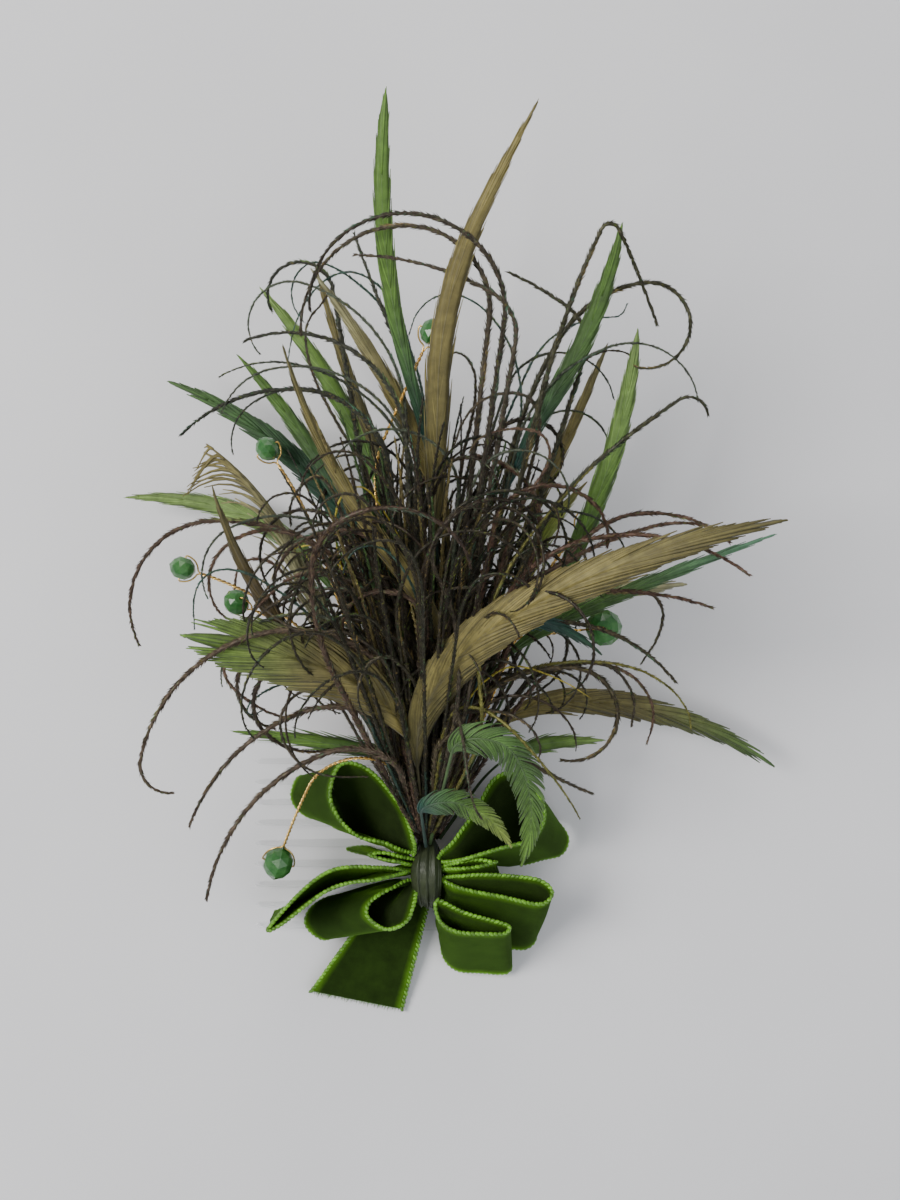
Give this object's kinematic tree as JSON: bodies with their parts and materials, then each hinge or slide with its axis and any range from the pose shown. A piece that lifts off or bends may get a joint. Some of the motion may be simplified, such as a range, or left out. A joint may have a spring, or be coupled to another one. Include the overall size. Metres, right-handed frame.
{
  "type": "feather fascinator headpiece on a hair comb",
  "caption": "Feather fascinator on a clear hair comb: velvet ribbon bow, bound plume of feathers and curled herls, faceted beads that turn on gilt wire loops.",
  "frame": {"origin": "middle of the flat back of the comb's spine, which lies against the head", "axes": "+Z away from the head, +Y up the plume towards the feather tips, comb teeth along -X"},
  "size_m": [0.149, 0.1982, 0.0893],
  "materials": {
    "jade": "polished facets, nearly opaque",
    "gilt_wire": "bright twisted wire",
    "clear_plastic": "clear moulded plastic",
    "moss_velvet": "velvet pile with a satin picot edge",
    "olive_tape": "waxed floral tape",
    "dark_stems": "bound quills",
    "bronze_herl": "fuzzy herl with a green glint",
    "olive_feather": "fine parallel barbs",
    "green_feather": "fine parallel barbs"
  },
  "bodies": {
    "headpiece": {"comb": "clear_plastic", "comb_binding": "gilt_wire", "feather_front_olive": "olive_feather", "feather_front_palm": "green_feather", "feather_front_small": "green_feather", "feather_left_broad": "olive_feather", "feather_left_brown": "olive_feather", "feather_left_emerald": "green_feather", "feather_left_fan": "green_feather", "feather_left_level": "green_feather", "feather_left_lime": "green_feather", "feather_left_split": "olive_feather", "feather_lower_left_green": "green_feather", "feather_lower_right_green": "green_feather", "feather_lower_right_olive": "olive_feather", "feather_right_broad": "olive_feather", "feather_right_dark_tip": "green_feather", "feather_right_green": "green_feather", "feather_right_lime": "green_feather", "feather_right_olive": "olive_feather", "feather_right_pale": "olive_feather", "feather_right_teal": "green_feather", "feather_right_yellow": "olive_feather", "feather_tall_green": "green_feather", "feather_tall_olive": "olive_feather", "feather_upper_left_green": "green_feather", "feather_upper_left_olive": "olive_feather", "feather_upper_left_thin": "olive_feather", "herls_core": "bronze_herl", "herls_crown": "bronze_herl", "herls_left": "bronze_herl", "herls_lower_left": "bronze_herl", "herls_lower_right": "bronze_herl", "herls_right": "bronze_herl", "herls_upper_left": "bronze_herl", "herls_upper_right": "bronze_herl", "knot": "olive_tape", "ribbon_loop_lower_left": "moss_velvet", "ribbon_loop_lower_right": "moss_velvet", "ribbon_loop_middle_left": "moss_velvet", "ribbon_loop_middle_right": "moss_velvet", "ribbon_loop_upper_left": "moss_velvet", "ribbon_loop_upper_right": "moss_velvet", "ribbon_tail": "moss_velvet", "stem_bundle": "dark_stems", "wire_inner_left": "gilt_wire", "wire_inner_right": "gilt_wire", "wire_left": "gilt_wire", "wire_lower_left": "gilt_wire", "wire_right": "gilt_wire", "wire_top": "gilt_wire", "wire_upper_left": "gilt_wire"},
    "bead_inner_left": {"bead_inner_left": "jade"},
    "bead_inner_right": {"bead_inner_right": "jade"},
    "bead_left": {"bead_left": "jade"},
    "bead_lower_left": {"bead_lower_left": "jade"},
    "bead_right": {"bead_right": "jade"},
    "bead_top": {"bead_top": "jade"},
    "bead_upper_left": {"bead_upper_left": "jade"}
  },
  "joints": [
    {"name": "inner_left_bead_spin", "type": "hinge", "parent": "headpiece", "child": "bead_inner_left", "pos_m": [-0.04093, 0.05402, 0.03861], "axis": [0.4398, 0.3481, 0.8279], "continuous": true},
    {"name": "inner_right_bead_spin", "type": "hinge", "parent": "headpiece", "child": "bead_inner_right", "pos_m": [0.03631, 0.07224, 0.02037], "axis": [0.7423, -0.67, 0], "continuous": true},
    {"name": "left_bead_spin", "type": "hinge", "parent": "headpiece", "child": "bead_left", "pos_m": [-0.05285, 0.06143, 0.03678], "axis": [0.2997, 0.954, 0], "continuous": true},
    {"name": "lower_left_bead_spin", "type": "hinge", "parent": "headpiece", "child": "bead_lower_left", "pos_m": [-0.03351, -0.00459, 0.02042], "axis": [-0.9507, 0.2711, 0.1508], "continuous": true},
    {"name": "right_bead_spin", "type": "hinge", "parent": "headpiece", "child": "bead_right", "pos_m": [0.03833, 0.04852, 0.04037], "axis": [-0.0936, -0.0093, 0.9956], "continuous": true},
    {"name": "top_bead_spin", "type": "hinge", "parent": "headpiece", "child": "bead_top", "pos_m": [0.00147, 0.11074, 0.0522], "axis": [0.8988, -0.4383, 0], "continuous": true},
    {"name": "upper_left_bead_spin", "type": "hinge", "parent": "headpiece", "child": "bead_upper_left", "pos_m": [-0.03601, 0.08855, 0.01994], "axis": [0.8188, 0.5741, 0], "continuous": true}
  ]
}
